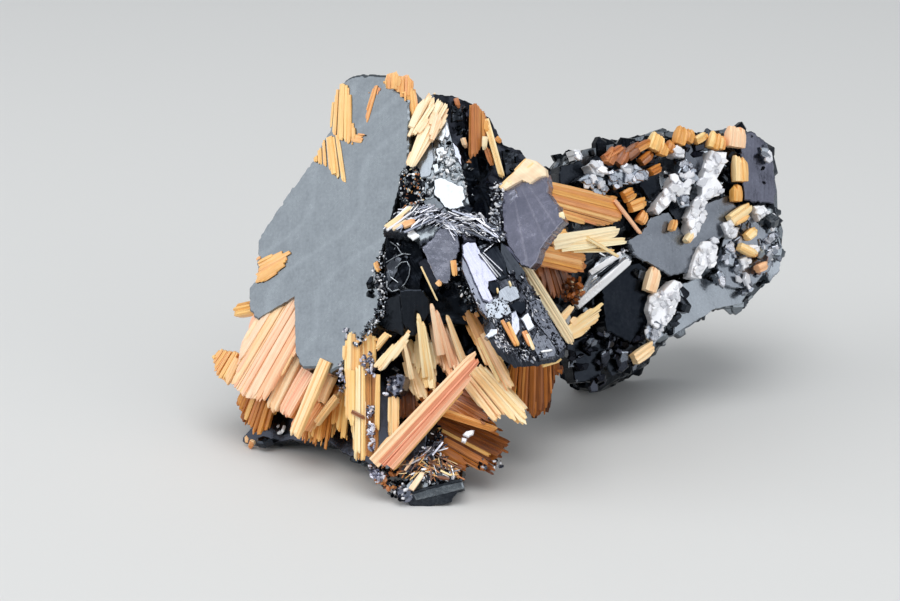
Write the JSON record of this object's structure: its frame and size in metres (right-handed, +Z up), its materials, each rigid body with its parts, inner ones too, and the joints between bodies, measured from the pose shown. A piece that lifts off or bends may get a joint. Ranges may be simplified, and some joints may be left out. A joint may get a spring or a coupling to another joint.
{
  "type": "rutile cluster",
  "caption": "Mineral cluster of grey hematite plates and crystals with golden, pink and brown rutile blades in sprays; stands on small flat feet.",
  "frame": {"origin": "middle of the bounding box at the ground that the cluster stands on", "axes": "+Z up; -Y is the side towards the viewer; +X is the right-hand side of the picture"},
  "size_m": [0.0386, 0.0286, 0.0249],
  "materials": {
    "hematite": "grey metallic mirror faces, finely striated, with sparkling granular ledges",
    "rutile": "golden to peach and pink silky blades, striated along their length",
    "brown_rutile": "dark red-brown to honey blades, glassy, striated along their length"
  },
  "bodies": {
    "root": {"hematite_main_plate": "hematite", "hematite_back_slab": "hematite", "hematite_centre": "hematite", "hematite_violet_plate": "hematite", "hematite_top_plate": "hematite", "hematite_neck": "hematite", "hematite_right_body": "hematite", "hematite_right_plate": "hematite", "hematite_far_plate": "hematite", "hematite_silver_blade": "hematite", "hematite_foot_crystal": "hematite", "hematite_rear_crystal": "hematite", "rutile_upper_inlay": "rutile", "rutile_left_inlay": "rutile", "rutile_top_strip": "rutile", "rutile_left_fan": "rutile", "rutile_fingers": "rutile", "rutile_column": "rutile", "rutile_short_blades": "rutile", "rutile_inner_blades": "rutile", "rutile_front_blade": "rutile", "rutile_front_spray": "rutile", "rutile_crest": "rutile", "rutile_top_blades": "rutile", "rutile_cap": "rutile", "rutile_bridge_upper": "rutile", "rutile_bridge_lower": "rutile", "rutile_vee": "rutile", "rutile_right_crest": "rutile", "rutile_right_strip": "rutile", "rutile_rear_fan": "rutile", "rutile_lower_fringe": "brown_rutile", "rutile_brown_spray": "brown_rutile", "rutile_far_brown_spray": "brown_rutile"}
  },
  "joints": []
}
